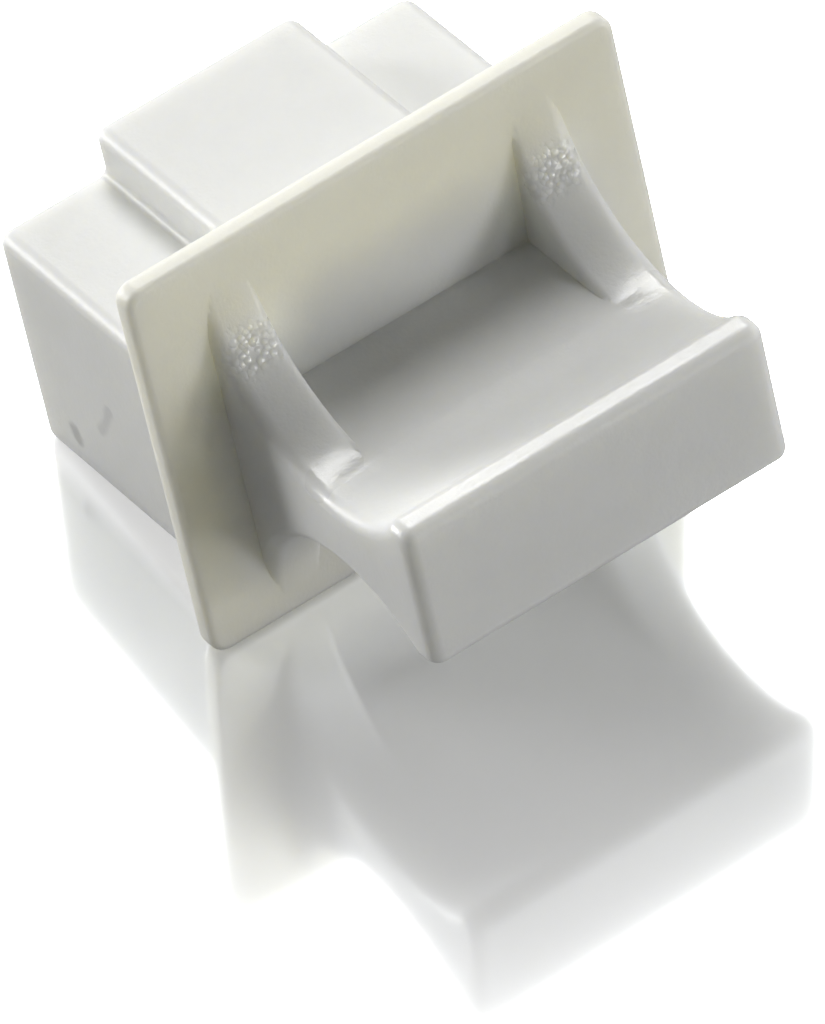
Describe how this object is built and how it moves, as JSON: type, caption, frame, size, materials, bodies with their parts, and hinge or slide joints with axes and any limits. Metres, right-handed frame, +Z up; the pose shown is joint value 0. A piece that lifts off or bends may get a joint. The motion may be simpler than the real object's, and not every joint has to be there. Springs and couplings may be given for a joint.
{
  "type": "patch panel dust cover",
  "caption": "Moulded plastic cover for an empty modular port: hollow stepped plug, thin rectangular flange and a waisted pull handle with side ribs and a thick front lip.",
  "frame": {"origin": "middle of the bounding box's underside, on the surface that the cover lies on", "axes": "+X to the right seen from the handle, +Y from the handle to the plug, +Z up; the plug's own axis dips 9.53 degrees below +Y, because the cover lies on the lower edge of its flange and the lower rear edge of its plug"},
  "size_m": [0.0132, 0.0158, 0.0107],
  "materials": {
    "ivory_plastic": "fine moulded grain with a slight gloss, off-white"
  },
  "bodies": {
    "root": {"dust_cover": "ivory_plastic"}
  },
  "joints": []
}
